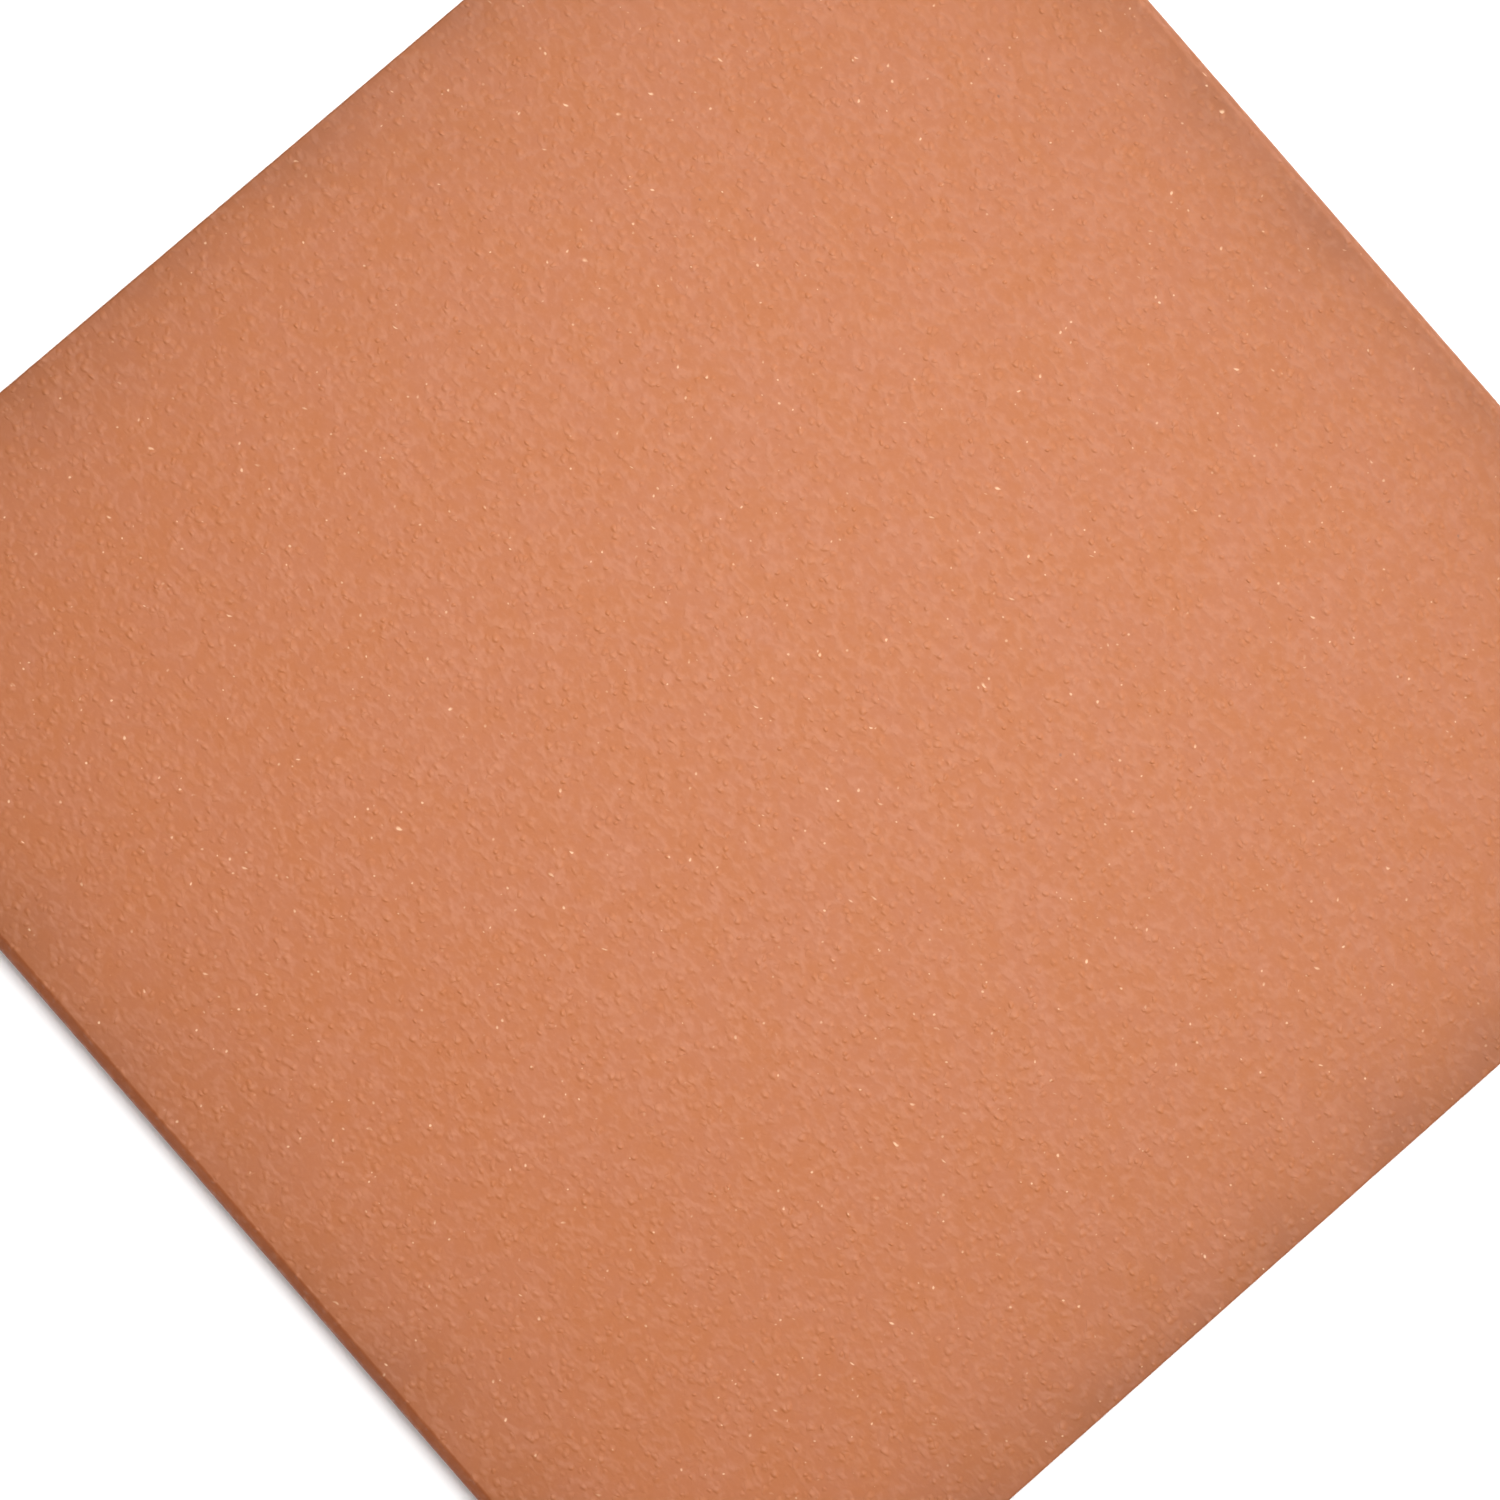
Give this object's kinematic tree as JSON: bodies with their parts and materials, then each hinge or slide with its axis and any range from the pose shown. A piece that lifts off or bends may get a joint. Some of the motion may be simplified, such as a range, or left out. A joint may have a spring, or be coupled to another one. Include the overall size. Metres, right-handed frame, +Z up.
{
  "type": "extruded floor tile",
  "caption": "Square unglazed clay floor tile, extruded, with a flat walking face, eased long edges, wire-cut ends and dovetail grooves along its back.",
  "frame": {"origin": "middle of the back, on the plane of the rib tips", "axes": "+X across the tile from side to side, +Y along the extrusion and the ribs, +Z up, out of the walking face"},
  "size_m": [0.3, 0.298, 0.012],
  "materials": {
    "fired_clay": "matte unglazed orange-red clay body"
  },
  "bodies": {
    "root": {"floor_tile": "fired_clay"}
  },
  "joints": []
}
